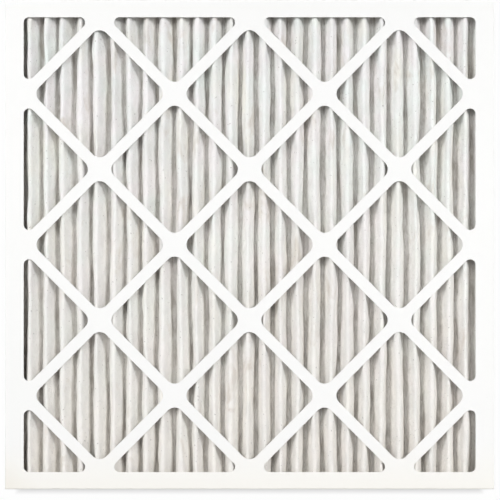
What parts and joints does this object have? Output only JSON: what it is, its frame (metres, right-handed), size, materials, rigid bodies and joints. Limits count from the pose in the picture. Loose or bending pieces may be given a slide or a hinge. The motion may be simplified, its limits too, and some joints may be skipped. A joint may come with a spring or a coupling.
{
  "type": "pleated panel air filter",
  "caption": "Square pleated panel air filter in a two-part folded board frame, with a die-cut diamond lattice over each face.",
  "frame": {"origin": "middle of the panel in X and Y, on the plane of its air-leaving face, which it lies on", "axes": "+Z through the depth, out of the air-entering face; Y along the pleats; X across the pleats"},
  "size_m": [0.4952, 0.4952, 0.0191],
  "materials": {
    "front_board": "white clay-coated solid board, smooth with a faint sheen, soft creases at the folds",
    "back_board": "white clay-coated solid board, smooth with a faint sheen, soft creases at the folds",
    "media": "white non-woven cotton and polyester media, matt and fibrous",
    "grid_wire": "bright galvanised welded wire",
    "hot_melt": "pale hot-melt adhesive, satin"
  },
  "bodies": {
    "root": {"front_frame": "front_board", "back_frame": "back_board", "pleated_media": "media", "support_grid": "grid_wire", "top_edge_seal": "hot_melt", "bottom_edge_seal": "hot_melt", "left_edge_seal": "hot_melt", "right_edge_seal": "hot_melt"}
  },
  "joints": []
}
